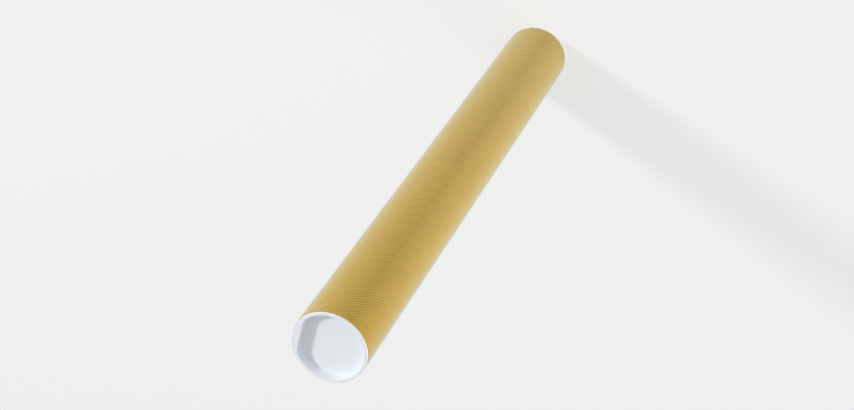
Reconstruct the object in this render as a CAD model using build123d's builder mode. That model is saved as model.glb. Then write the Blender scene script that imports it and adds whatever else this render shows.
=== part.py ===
"""Cardboard mailing tube: a spiral-wound board tube with a moulded push-in cap in each end.

The tube stands on its end. The origin is at the centre of the bottom cap's flange, +Z runs up the
tube's axis, and the flat side of each cap's finger recess faces +X. All lengths are in millimetres.
"""

import os

from build123d import *

# Tube
tube_diameter = 50.0  # outside
tube_length = 450.0
tube_wall = 1.5

# End cap: a thin flange over the cut end, and a shallow cup that plugs the bore
flange_thickness = 1.2
flange_setback = 0.15  # the flange's edge stays this far inside the tube's outside
plug_clearance = 0.15  # all round, between the plug and the bore
cap_wall = 0.8  # side of the cup
floor_thickness = 0.9  # bottom of the cup
recess_depth = 6.1  # from the flange's front to the recess floor
grip_flat_depth = 3.45  # the flat side stands this far in from the round side
grip_corner_radius = 12.0  # blend between the flat and the round side
rim_radius = 0.6  # where the flange rolls into the recess
lead_in = 0.5  # bevel on the plug's end, which guides it into the bore
plug_taper = 2.0  # degrees, the plug narrows into the bore

# Sizes that follow from those above
tube_radius = tube_diameter / 2
bore_radius = tube_radius - tube_wall
flange_radius = tube_radius - flange_setback
plug_radius = bore_radius - plug_clearance
recess_radius = plug_radius - cap_wall
recess_flat = recess_radius - grip_flat_depth
plug_flat = recess_flat + cap_wall
plug_corner_radius = grip_corner_radius + cap_wall
plug_depth = recess_depth + floor_thickness - flange_thickness
tube_bottom = flange_thickness
tube_top = tube_bottom + tube_length


def cup_section(plane, radius, flat_distance, corner_radius):
    """A circle with one flat side towards the plane's +X, its two corners blended."""
    with BuildSketch(plane) as section:
        Circle(radius)
        with Locations((flat_distance, 0)):
            Rectangle(radius, 2 * radius, align=(Align.MIN, Align.CENTER), mode=Mode.SUBTRACT)
        fillet(section.vertices(), corner_radius)
    return section.sketch


def make_end_cap(seat):
    """Makes one cap. The seat plane is the tube's cut end, with its normal pointing out of the tube."""
    outward = Axis(seat.origin, seat.z_dir)
    front = seat.offset(flange_thickness)
    plug_section = cup_section(-seat, plug_radius, plug_flat, plug_corner_radius)
    recess_section = cup_section(-front, recess_radius, recess_flat, grip_corner_radius)
    with BuildPart() as cap:
        # The plug tapers from the flange into the bore
        extrude(plug_section, amount=plug_depth, taper=plug_taper)
        with BuildSketch(seat):
            Circle(flange_radius)
        extrude(amount=flange_thickness)

        # The finger recess leaves a thin wall inside the plug
        extrude(recess_section, amount=recess_depth, mode=Mode.SUBTRACT)

        # The plug's end is bevelled, and the flange rolls into the recess
        level_faces = cap.faces().filter_by(outward).sort_by(outward)
        plug_end = level_faces[0]
        front_face = level_faces[-1]
        chamfer(plug_end.outer_wire().edges(), lead_in)
        fillet(front_face.inner_wires()[0].edges(), rim_radius)
    return cap.part


# Tube, one wound wall with square-cut ends
with BuildPart() as tube:
    with BuildSketch(Plane.XY.offset(tube_bottom)):
        Circle(tube_radius)
        Circle(bore_radius, mode=Mode.SUBTRACT)
    extrude(amount=tube_length)
tube.part.label = "tube"

# Caps, the same moulding at both ends
bottom_seat = Plane(origin=(0, 0, tube_bottom), x_dir=(1, 0, 0), z_dir=(0, 0, -1))
top_seat = Plane(origin=(0, 0, tube_top), x_dir=(1, 0, 0), z_dir=(0, 0, 1))
bottom_cap = make_end_cap(bottom_seat)
bottom_cap.label = "bottom_cap"
top_cap = make_end_cap(top_seat)
top_cap.label = "top_cap"

os.makedirs("parts", exist_ok=True)
export_step(tube.part, "parts/tube.step")
export_step(bottom_cap, "parts/bottom_cap.step")
export_step(top_cap, "parts/top_cap.step")
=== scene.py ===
# %% [markdown]
# # A cardboard mailing tube
#
# A mailing tube is wound from strips of board, covered with ribbed brown kraft paper, and closed by a
# white plastic cap at each end. The CAD model fixes its sizes and what moves. This lesson dresses it:
# the ribs and fibres of the paper, the cut edge of the board, the moulded caps, and soft studio light.

# %% Load the frame
import math

import bmesh
import bpy
from mathutils import Matrix, Vector


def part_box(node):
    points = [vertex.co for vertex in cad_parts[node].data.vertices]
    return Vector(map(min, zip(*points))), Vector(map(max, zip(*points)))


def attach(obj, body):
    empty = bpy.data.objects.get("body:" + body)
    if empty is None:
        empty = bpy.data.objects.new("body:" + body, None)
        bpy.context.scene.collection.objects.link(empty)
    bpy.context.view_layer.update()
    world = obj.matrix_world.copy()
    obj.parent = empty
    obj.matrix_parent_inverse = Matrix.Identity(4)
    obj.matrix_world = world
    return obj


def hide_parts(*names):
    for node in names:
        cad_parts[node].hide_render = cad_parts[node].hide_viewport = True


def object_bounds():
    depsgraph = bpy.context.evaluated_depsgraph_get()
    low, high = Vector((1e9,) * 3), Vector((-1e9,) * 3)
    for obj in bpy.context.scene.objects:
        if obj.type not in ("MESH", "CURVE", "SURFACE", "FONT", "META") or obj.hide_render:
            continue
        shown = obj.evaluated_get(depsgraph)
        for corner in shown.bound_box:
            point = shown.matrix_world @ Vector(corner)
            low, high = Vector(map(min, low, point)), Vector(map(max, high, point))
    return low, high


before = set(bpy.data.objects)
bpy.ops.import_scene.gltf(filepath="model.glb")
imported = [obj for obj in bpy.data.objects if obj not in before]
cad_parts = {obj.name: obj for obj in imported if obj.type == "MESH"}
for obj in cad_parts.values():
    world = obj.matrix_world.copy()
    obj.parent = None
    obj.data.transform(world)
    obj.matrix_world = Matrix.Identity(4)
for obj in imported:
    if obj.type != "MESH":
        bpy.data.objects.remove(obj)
cad_low, cad_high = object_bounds()

# %% [markdown]
# ## Sizes from the frame
#
# Every length here is in metres, as Blender counts them. Where the frame knows a size, the script asks
# for it, so that the pieces sit exactly where the CAD solids are.

# %% Read the tube's and the flange's sizes
tube_low, tube_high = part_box("tube")
tube_radius = tube_high.x
tube_bottom = tube_low.z
tube_length = tube_high.z - tube_low.z
board_thickness = 0.0015
bore_radius = tube_radius - board_thickness
flange_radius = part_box("top_cap")[1].x
flange_thickness = cad_high.z - tube_high.z
print(f"tube {2 * tube_radius * 1000:.1f} mm across and {tube_length * 1000:.1f} mm long")

# %% [markdown]
# ## The ribbed tube
#
# Ribbed kraft has fine ridges along the strip. The strip is wound on a slant, so on the tube the ridges
# climb as helices. A bump texture could fake them, but the mesh would stay smooth. Here one ring with
# fifty small waves is spun up the axis: each step turns and lifts the ring a little, and its waves draw
# out into fifty ribs. A turn that is a whole number of ring points brings the last ring in line with the
# first, so that the straight bore can close the wall.

# %% Spin one wavy ring into the outside of the tube
rib_count = 50
points_per_rib = 4
rib_height = 0.00005
rib_turns = 3.15
wall_steps = 240
ring_points = rib_count * points_per_rib

wall = bmesh.new()
bmesh.ops.create_circle(wall, cap_ends=False, radius=tube_radius, segments=ring_points)
for point in wall.verts:
    angle = math.atan2(point.co.y, point.co.x)
    sunk = rib_height * (1 - math.cos(rib_count * angle)) / 2
    point.co *= (tube_radius - sunk) / tube_radius
    point.co.z = tube_bottom
first_ring = list(wall.edges)
spun = bmesh.ops.spin(
    wall, geom=list(wall.verts) + first_ring, cent=(0, 0, 0), axis=(0, 0, 1),
    dvec=(0, 0, tube_length / wall_steps), angle=rib_turns * 2 * math.pi, steps=wall_steps,
    use_merge=False, use_duplicate=False,
)
last_ring = [edge for edge in spun["geom_last"] if isinstance(edge, bmesh.types.BMEdge)]
print("outside:", len(wall.faces), "faces, ring edges", len(first_ring), len(last_ring))

# %% [markdown]
# The cut ends are flat rings of board. Each end ring is extruded and drawn in to the bore, and bridging
# the two inner rings makes the inside of the tube. The edges of the ends are marked sharp, as a saw
# leaves them.

# %% Close the wall with its cut ends and its bore
def drawn_to_circle(shape, loop, radius):
    """Extrudes a loop and draws the copy in or out to a circle round the axis. Returns the new loop."""
    grown = bmesh.ops.extrude_edge_only(shape, edges=loop)["geom"]
    copied = {part for part in grown if isinstance(part, bmesh.types.BMVert)}
    for point in copied:
        point.co.xy = point.co.xy.normalized() * radius
    edges = [part for part in grown if isinstance(part, bmesh.types.BMEdge)]
    return [edge for edge in edges if copied.issuperset(edge.verts)]


bore_rings = [drawn_to_circle(wall, ring, bore_radius) for ring in (first_ring, last_ring)]
bmesh.ops.bridge_loops(wall, edges=bore_rings[0] + bore_rings[1])
bmesh.ops.recalc_face_normals(wall, faces=wall.faces)
for face in wall.faces:
    face.smooth = True
for edge in first_ring + last_ring + bore_rings[0] + bore_rings[1]:
    edge.smooth = False
print("wall:", len(wall.faces), "faces, volume", round(wall.calc_volume() * 1e6, 2), "cm3")

# %% [markdown]
# A finished shape becomes an object that rides on its body, and the CAD node that it replaces is hidden.
# The object stays at the origin, because its place is already in its mesh.

# %% Hand the tube to its body
def finished_piece(shape, name, body, node):
    """Turns a bmesh into an object that rides on a body and stands for a CAD node."""
    mesh = bpy.data.meshes.new(name)
    shape.to_mesh(mesh)
    shape.free()
    piece = bpy.data.objects.new(name, mesh)
    bpy.context.scene.collection.objects.link(piece)
    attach(piece, body)
    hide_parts(node)
    return piece


ribbed_tube = finished_piece(wall, "ribbed_tube", "tube", "tube")
print("made", ribbed_tube.name)

# %% [markdown]
# ## The moulded caps
#
# Each cap is one thin moulding: a flange that covers the cut end, and a shallow cup that plugs the bore.
# One side of the cup is flat, so that fingertips can pull it. A box or a cylinder can't give that outline,
# so a single point is spun round three centres: a corner, the round side, and the other corner. The flat
# side closes the wire. The same walk at another size gives the outside of the cup.

# %% Draw the cup's outline by spinning a point
recess_radius = 0.02255
flat_distance = 0.0191
corner_radius = 0.012
corner_steps = 18
round_steps = 130
flat_steps = 18
outline_steps = 2 * corner_steps + round_steps + flat_steps
corner_x = flat_distance - corner_radius
corner_y = math.sqrt((recess_radius - corner_radius) ** 2 - corner_x**2)
corner_turn = math.atan2(corner_y, corner_x)


def cup_outline(moulding, grown, height):
    """One closed wire round the cup at a height, grown outwards by a distance. Returns its edges."""
    before = set(moulding.edges)
    first = moulding.verts.new((flat_distance + grown, corner_y, height))
    last = first
    for centre_x, centre_y, turn, steps in (
        (corner_x, corner_y, corner_turn, corner_steps),
        (0, 0, 2 * math.pi - 2 * corner_turn, round_steps),
        (corner_x, -corner_y, corner_turn, corner_steps),
    ):
        spun = bmesh.ops.spin(
            moulding, geom=[last], cent=(centre_x, centre_y, height), axis=(0, 0, 1),
            angle=turn, steps=steps, use_merge=False, use_duplicate=False,
        )
        last = spun["geom_last"][0]
    flat_side = moulding.edges.new((last, first))
    bmesh.ops.subdivide_edges(moulding, edges=[flat_side], cuts=flat_steps - 1)
    return [edge for edge in moulding.edges if edge not in before]


print(f"flat side {2 * corner_y * 1000:.1f} mm long, {outline_steps} points in the outline")

# %% [markdown]
# Four such outlines are the recess floor, its rim, the plug's root and the plug's end. The rim and the
# root are drawn out to the flange's circle, bridges join the loops that lie above each other, and two
# faces fill the recess floor and the plug's end. Last, bevels give the edges the small radius that a
# mould leaves.

# %% Bridge the loops into one cap
recess_depth = 0.0061
cup_wall = 0.0008
plug_depth = 0.0058
plug_taper = math.radians(2)
rim_radius = 0.0006
floor_radius = 0.0002
flange_edge_radius = 0.0003
lead_in = 0.0005
round_segments = 5


def moulded_cap():
    """A cap whose flange sits on the plane z = 0 and faces up. Returns the bmesh."""
    moulding = bmesh.new()
    floor_loop = cup_outline(moulding, 0, flange_thickness - recess_depth)
    rim_loop = cup_outline(moulding, 0, flange_thickness)
    root_loop = cup_outline(moulding, cup_wall, 0)
    end_loop = cup_outline(moulding, cup_wall - plug_depth * math.tan(plug_taper), -plug_depth)
    front_loop = drawn_to_circle(moulding, rim_loop, flange_radius)
    seat_loop = drawn_to_circle(moulding, root_loop, flange_radius)
    for near, far in ((floor_loop, rim_loop), (front_loop, seat_loop), (root_loop, end_loop)):
        bmesh.ops.bridge_loops(moulding, edges=near + far)
    for loop in (floor_loop, end_loop):
        bmesh.ops.edgeloop_fill(moulding, edges=loop)
    bmesh.ops.recalc_face_normals(moulding, faces=moulding.faces)
    for loop, radius in (
        (rim_loop, rim_radius),
        (floor_loop, floor_radius),
        (front_loop, flange_edge_radius),
        (end_loop, lead_in),
    ):
        bmesh.ops.bevel(
            moulding, geom=loop, offset=radius, offset_type="OFFSET", affect="EDGES",
            segments=round_segments, profile=0.5, material=-1, clamp_overlap=True,
        )
    for face in moulding.faces:
        face.smooth = True
    return moulding


# %% [markdown]
# The two ends take the same moulding. The top cap is only lifted to its seat. The bottom one is turned
# over about the X axis, which keeps its flat side towards +X. Weighted normals keep the flat floor and
# flange flat in the shading, and let the small radii do the turning.

# %% Seat a cap in each end
def seated_cap(name, node, seat):
    """Makes a cap, puts it on its seat and hands it to its body."""
    moulding = moulded_cap()
    bmesh.ops.transform(moulding, matrix=seat, verts=moulding.verts)
    print(name, len(moulding.faces), "faces, volume", round(moulding.calc_volume() * 1e6, 3), "cm3")
    piece = finished_piece(moulding, name, node, node)
    even = piece.modifiers.new("flat_faces_stay_flat", "WEIGHTED_NORMAL")
    even.mode = "FACE_AREA"
    even.weight = 50
    return piece


turned_over = Matrix.Translation((0, 0, tube_bottom)) @ Matrix.Rotation(math.pi, 4, "X")
lifted = Matrix.Translation((0, 0, tube_bottom + tube_length))
top_cap = seated_cap("moulded_top_cap", "top_cap", lifted)
bottom_cap = seated_cap("moulded_bottom_cap", "bottom_cap", turned_over)

# %% [markdown]
# ## The kraft finish
#
# Kraft is unbleached pulp: golden brown, mottled, with fibres that lie along the strip. A pattern that is
# stretched straight up the tube would cross the ribs. So the coordinates are first unwound: each point is
# turned back about the axis by as much as the ribs have turned at its height. In that space the ribs
# stand upright, and a noise squeezed along Z becomes fibres that follow the winding, with no seam.

# %% Helpers that add shader nodes
def add_node(tree, kind, sockets=(), **settings):
    """Adds a node, sets its properties, and fills its sockets with values or links."""
    made = tree.nodes.new(kind)
    for name, value in settings.items():
        setattr(made, name, value)
    for socket, value in dict(sockets).items():
        if isinstance(value, bpy.types.NodeSocket):
            tree.links.new(value, made.inputs[socket])
        else:
            made.inputs[socket].default_value = value
    return made


def worked_out(tree, operation, *values):
    """A value that a Math node works out from others."""
    return add_node(tree, "ShaderNodeMath", dict(enumerate(values)), operation=operation).outputs[0]


def stretched(tree, value, from_low, from_high, to_low, to_high):
    """A value taken from one range to another, clamped at its ends."""
    sockets = {0: value, 1: from_low, 2: from_high, 3: to_low, 4: to_high}
    return add_node(tree, "ShaderNodeMapRange", sockets).outputs[0]


def blank_finish(name):
    """A material with only a Principled shader. Returns the material, its tree and the shader."""
    finish = bpy.data.materials.new(name)
    finish.use_nodes = True
    tree = finish.node_tree
    shader = tree.nodes["Principled BSDF"]
    return finish, tree, shader


# %% Unwind the coordinates and find the ribs
kraft, paper, paper_shader = blank_finish("ribbed_kraft")
rib_rate = rib_turns * 2 * math.pi / tube_length
place = add_node(paper, "ShaderNodeTexCoord").outputs["Object"]
place_xyz = add_node(paper, "ShaderNodeSeparateXYZ", {0: place}).outputs
wound_by = worked_out(paper, "MULTIPLY_ADD", place_xyz["Z"], -rib_rate, rib_rate * tube_bottom)
unwound = add_node(
    paper, "ShaderNodeVectorRotate", {"Vector": place, "Angle": wound_by}, rotation_type="Z_AXIS"
).outputs[0]
unwound_xyz = add_node(paper, "ShaderNodeSeparateXYZ", {0: unwound}).outputs
around = worked_out(paper, "ARCTAN2", unwound_xyz["Y"], unwound_xyz["X"])
rib_wave = worked_out(paper, "COSINE", worked_out(paper, "MULTIPLY", around, rib_count))
ridge = stretched(paper, rib_wave, -1, 1, 0, 1)
print("ribs turn", round(math.degrees(rib_rate * 0.01), 1), "degrees in 10 mm")

# %% [markdown]
# Three noises make the sheet. Long fine fibres follow the ribs, a slow mottling is the cloudy look of the
# pulp, and sparse dark flecks are bark specks. The groove between two ribs is painted a little darker than
# the ridge: that is painted shade, which stands in for the shadow in the groove. Most of a noise lies
# between 0.3 and 0.7, so that range is stretched to the tones of the paper.

# %% Helpers for noise and colour
noise_low, noise_high = 0.3, 0.7


def noise(tree, where, scale, detail, roughness=0.5):
    """A cloudy noise in the given space. A larger scale is a finer grain."""
    sockets = {"Vector": where, "Scale": scale, "Detail": detail, "Roughness": roughness}
    return add_node(tree, "ShaderNodeTexNoise", sockets).outputs[0]


def tone(tree, pattern, swing):
    """A noise turned into a factor near 1, which swings by so much to either side."""
    return stretched(tree, pattern, noise_low, noise_high, 1 - swing, 1 + swing)


def mixed(tree, share, low, high):
    """A colour between two others. The Mix node keeps its colour sockets at places 6 and 7."""
    return add_node(tree, "ShaderNodeMix", {0: share, 6: low, 7: high}, data_type="RGBA").outputs[2]


def mixed_value(tree, share, low, high):
    """A value between two others. The Mix node keeps its number sockets at places 2 and 3."""
    return add_node(tree, "ShaderNodeMix", {0: share, 2: low, 3: high}, data_type="FLOAT").outputs[0]


def shaded(tree, colour, factor):
    """A colour made lighter or darker by a factor."""
    sockets = {0: colour, "Scale": factor}
    return add_node(tree, "ShaderNodeVectorMath", sockets, operation="SCALE").outputs[0]


# %% Mix the fibres, mottling and flecks into the paper's colour
# The groove's colour is darker than the ridge's: this is painted shade in the grooves.
ridge_brown = (0.53, 0.333, 0.036, 1)
shaded_groove_brown = (0.405, 0.254, 0.0275, 1)
fleck_brown = (0.22, 0.12, 0.03, 1)
fibre_stretch = 8
fibre_scale, cloud_scale, fleck_scale = 1800, 140, 700
fibre_swing, cloud_swing = 0.08, 0.05
fleck_start, fleck_full, fleck_strength = 0.68, 0.76, 0.3

squeezed = (1, 1, 1 / fibre_stretch)
fibre_place = add_node(paper, "ShaderNodeMapping", {"Vector": unwound, "Scale": squeezed}).outputs[0]
fibres = noise(paper, fibre_place, fibre_scale, detail=4, roughness=0.6)
mottling = noise(paper, unwound, cloud_scale, detail=4, roughness=0.55)
specks = noise(paper, fibre_place, fleck_scale, detail=1)

# The mix between ridge and groove carries the painted shade in the grooves.
ribbed_brown_with_groove_shade = mixed(paper, ridge, shaded_groove_brown, ridge_brown)
fibre_tone = tone(paper, fibres, fibre_swing)
cloud_tone = tone(paper, mottling, cloud_swing)
clouded_brown = shaded(paper, ribbed_brown_with_groove_shade, worked_out(paper, "MULTIPLY", fibre_tone, cloud_tone))
fleck_share = stretched(paper, specks, fleck_start, fleck_full, 0, fleck_strength)
sheet_brown = mixed(paper, fleck_share, clouded_brown, fleck_brown)
print("paper nodes:", len(paper.nodes))

# %% [markdown]
# Under the kraft, the wall is plies of grey-brown board, which show on the cut ends and in the bore. Paper
# and board are one solid here, so the distance from the axis tells them apart: the outer skin is kraft,
# and below it thin rings of light and dark are the plies.

# %% Add the board below the paper
kraft_skin = 0.00015
skin_blend = kraft_skin / 4
ply_thickness = 0.00034
ply_light = (0.40, 0.32, 0.22, 1)
ply_dark = (0.27, 0.21, 0.14, 1)
pulp_scale, pulp_swing = 900, 0.12

flat_place = add_node(paper, "ShaderNodeCombineXYZ", {0: place_xyz["X"], 1: place_xyz["Y"]}).outputs[0]
from_axis = add_node(paper, "ShaderNodeVectorMath", {0: flat_place}, operation="LENGTH").outputs["Value"]
skin_bottom = tube_radius - rib_height - kraft_skin
is_skin = stretched(paper, from_axis, skin_bottom, skin_bottom + skin_blend, 0, 1)
ply_phase = worked_out(paper, "MULTIPLY", from_axis, 2 * math.pi / ply_thickness)
ply_share = stretched(paper, worked_out(paper, "SINE", ply_phase), -1, 1, 0, 1)
board_pulp = noise(paper, place, pulp_scale, detail=4)
ply_brown = mixed(paper, ply_share, ply_dark, ply_light)
board_brown = shaded(paper, ply_brown, tone(paper, board_pulp, pulp_swing))
paper.links.new(mixed(paper, is_skin, board_brown, sheet_brown), paper_shader.inputs["Base Color"])
print("plies in the wall:", round(board_thickness / ply_thickness, 1))

# %% [markdown]
# The paper is pressed smooth, so it has a soft gloss that its fibres break up, and the board has none.
# Loose fibres stand up from the paper and catch the light that grazes it, which pales the tube's flanks
# and edges. The shader's own sheen does that from every side. Pale flanks could be painted on as well,
# but they would be right from one side only.

# %% Finish the kraft
board_roughness = 0.85
sleek_roughness, fuzzy_roughness = 0.28, 0.40
fibre_relief_share, cloud_relief_share = 0.6, 0.4
relief_strength, relief_depth = 0.35, 0.00008
loose_fibre_tint = (0.88, 1, 0.9, 1)


def pressed(tree, pattern, strength, depth):
    """A surface direction into which a pattern is pressed. Returns the Bump node's normal."""
    sockets = {"Strength": strength, "Distance": depth, "Height": pattern}
    return add_node(tree, "ShaderNodeBump", sockets).outputs[0]


skin_roughness = stretched(paper, fibres, noise_low, noise_high, sleek_roughness, fuzzy_roughness)
wall_roughness = mixed_value(paper, is_skin, board_roughness, skin_roughness)
cloud_relief = worked_out(paper, "MULTIPLY", mottling, cloud_relief_share)
paper_relief = worked_out(paper, "MULTIPLY_ADD", fibres, fibre_relief_share, cloud_relief)
paper_bump = pressed(paper, paper_relief, relief_strength, relief_depth)
paper.links.new(wall_roughness, paper_shader.inputs["Roughness"])
paper.links.new(paper_bump, paper_shader.inputs["Normal"])
paper_shader.inputs["IOR"].default_value = 1.12
paper_shader.inputs["Sheen Weight"].default_value = 1
paper_shader.inputs["Sheen Roughness"].default_value = 0.38
paper_shader.inputs["Sheen Tint"].default_value = loose_fibre_tint
ribbed_tube.data.materials.append(kraft)
print("kraft finish:", len(paper.nodes), "nodes")

# %% [markdown]
# ## The caps' plastic
#
# The caps are white polyethylene, soft and slightly waxy, with a faint blue cast. A moulding is never
# quite even: the tool leaves a fine grain, the gloss wanders a little, and handling leaves faint clouds.

# %% Finish the caps
cap_white = (0.865, 0.90, 0.94, 1)
cap_clouded = (0.84, 0.875, 0.915, 1)
grain_scale, handling_scale = 2600, 110
cloud_start, cloud_full = 0.4, 0.75
waxy_roughness, worn_roughness = 0.38, 0.48
grain_strength, grain_depth = 0.12, 0.00003

white_plastic, moulded, plastic_shader = blank_finish("cap_polyethylene")
cap_place = add_node(moulded, "ShaderNodeTexCoord").outputs["Object"]
tool_grain = noise(moulded, cap_place, grain_scale, detail=2)
handling = noise(moulded, cap_place, handling_scale, detail=5, roughness=0.6)
cloud_share = stretched(moulded, handling, cloud_start, cloud_full, 0, 1)
cap_colour = mixed(moulded, cloud_share, cap_white, cap_clouded)
cap_roughness = stretched(moulded, handling, noise_low, noise_high, waxy_roughness, worn_roughness)
grain_bump = pressed(moulded, tool_grain, grain_strength, grain_depth)
moulded.links.new(cap_colour, plastic_shader.inputs["Base Color"])
moulded.links.new(cap_roughness, plastic_shader.inputs["Roughness"])
moulded.links.new(grain_bump, plastic_shader.inputs["Normal"])
for cap in (top_cap, bottom_cap):
    cap.data.materials.append(white_plastic)
print("cap finish:", len(moulded.nodes), "nodes")

# %% [markdown]
# ## Floor and light
#
# The tube stands on a plain white floor. Lit only by lamps, a white floor turns grey long before the tube
# is bright enough, so the part of it that the camera and the gloss see is mixed with a steady white. The
# share that is left of the true shading keeps the tube's shadow, faint as on a white studio table.

# %% Lay the floor
floor_reach = 40
floor_white = (0.90, 0.90, 0.90, 1)
steady_level = 0.88
steady_share = 0.65


def seen_share(tree, share):
    """A share for rays that the camera, a mirror or a clear thing sees, and zero for light that spreads."""
    ray = add_node(tree, "ShaderNodeLightPath").outputs
    mirrored = worked_out(tree, "MAXIMUM", ray["Is Glossy Ray"], ray["Is Transmission Ray"])
    seen = worked_out(tree, "MAXIMUM", ray["Is Camera Ray"], mirrored)
    return worked_out(tree, "MULTIPLY", seen, share)


floor_shape = bmesh.new()
bmesh.ops.create_grid(floor_shape, x_segments=1, y_segments=1, size=floor_reach)
floor_mesh = bpy.data.meshes.new("floor")
floor_shape.to_mesh(floor_mesh)
floor_shape.free()
floor = bpy.data.objects.new("floor", floor_mesh)
bpy.context.scene.collection.objects.link(floor)
floor_paint, floor_tree, floor_shader = blank_finish("pale_floor")
floor_shader.inputs["Base Color"].default_value = floor_white
floor_shader.inputs["Roughness"].default_value = 0.9
floor_shader.inputs["Specular IOR Level"].default_value = 0.1
steady_colour = (steady_level, steady_level, steady_level, 1)
steady_white = add_node(
    floor_tree, "ShaderNodeEmission", {"Color": steady_colour, "Strength": 1}
).outputs[0]
floor_look = add_node(
    floor_tree, "ShaderNodeMixShader",
    {0: seen_share(floor_tree, steady_share), 1: floor_shader.outputs[0], 2: steady_white},
).outputs[0]
floor_tree.links.new(floor_look, floor_tree.nodes["Material Output"].inputs["Surface"])
floor_mesh.materials.append(floor_paint)
print("floor laid, it reaches", floor_reach, "m each way")

# %% [markdown]
# A small key looks at the cap from its flat side, high enough to throw the flat side's shadow into the
# recess. Two wide boxes light the tube from the front left and from the right. They end below the tube's
# top, so that they brighten its flanks and don't reach into the recess. They hang clear of the floor, and
# a grid narrows their light, which keeps hard bright patches off the floor below them. A weak fill from
# the front lifts the recess wall out of the shadow on the floor of the recess.

# %% Hang the lamps
cap_centre = Vector((0, 0, cad_high.z))
box_height_share = 0.6
box_centre = Vector((0, 0, box_height_share * cad_high.z))
box_size = (1.2, 0.32)
box_distance = 1.8
box_spread = 80


def soft_lamp(name, aim, azimuth, elevation, distance, size, watts, spread=180):
    """An area lamp of a width and height that looks at a point, with its light spread over an angle.

    The angles are in degrees. The azimuth turns from +X towards +Y.
    """
    lamp = bpy.data.lights.new(name, "AREA")
    lamp.shape = "RECTANGLE"
    lamp.size, lamp.size_y = size
    lamp.energy = watts
    lamp.spread = math.radians(spread)
    stand = bpy.data.objects.new(name, lamp)
    around_axis = Matrix.Rotation(math.radians(azimuth), 3, "Z")
    upwards = Matrix.Rotation(-math.radians(elevation), 3, "Y")
    stand.location = aim + around_axis @ upwards @ Vector((distance, 0, 0))
    stand.rotation_euler = (aim - stand.location).to_track_quat("-Z", "Y").to_euler()
    bpy.context.scene.collection.objects.link(stand)


soft_lamp("key", cap_centre, azimuth=-16.3, elevation=36, distance=2.5, size=(0.3, 0.3), watts=32)
for name, azimuth, watts in (("left_box", -40, 1.6), ("right_box", 168, 5.4)):
    soft_lamp(name, box_centre, azimuth, 0, box_distance, box_size, watts, box_spread)
soft_lamp("front_fill", cap_centre, azimuth=-115, elevation=20, distance=2.0, size=(1.5, 1.0), watts=3)

# %% [markdown]
# White walls all round give the rest of the light. A room that lights as brightly as it looks would wash
# out the lamps, so it gives less light than the white at which the camera and the gloss see it.

# %% Fill the room with white light
room_level = 0.53
surroundings = bpy.data.worlds.new("white_studio")
surroundings.use_nodes = True
bpy.context.scene.world = surroundings
studio = surroundings.node_tree
studio_level = mixed_value(studio, seen_share(studio, 1), room_level, steady_level)
studio.nodes["Background"].inputs["Color"].default_value = (1, 1, 1, 1)
studio.links.new(studio_level, studio.nodes["Background"].inputs["Strength"])
bpy.context.scene.view_settings.view_transform = "Standard"
print("room lights at", room_level, "and is seen at", steady_level)

# %% [markdown]
# ## The camera
#
# The photograph looks along the tube from its cap end, with the tube running up to the right. In this
# frame the tube stands, so the camera looks down at it and is rolled over, which lays the tube across
# the picture.

# %% Place the camera
sight_point = Vector((0.00169, -0.00052, 0.26763))
sight_azimuth, sight_elevation, sight_roll = (math.radians(turn) for turn in (-16.93, 55.53, 144.61))
sight_distance = 1.19111
focal_length = 72.659
backwards = Vector((
    math.sin(sight_azimuth) * math.cos(sight_elevation),
    -math.cos(sight_azimuth) * math.cos(sight_elevation),
    math.sin(sight_elevation),
))
lens = bpy.data.cameras.new("camera")
lens.lens = focal_length
lens.sensor_width = 36
lens.sensor_fit = "HORIZONTAL"
lens.clip_start = 0.01
camera = bpy.data.objects.new("camera", lens)
bpy.context.scene.collection.objects.link(camera)
upright = (-backwards).to_track_quat("-Z", "Y").to_matrix()
camera.rotation_euler = (upright @ Matrix.Rotation(-sight_roll, 3, "Z")).to_euler()
camera.location = sight_point + backwards * sight_distance
bpy.context.scene.camera = camera
print("camera at", [round(step, 4) for step in camera.location])
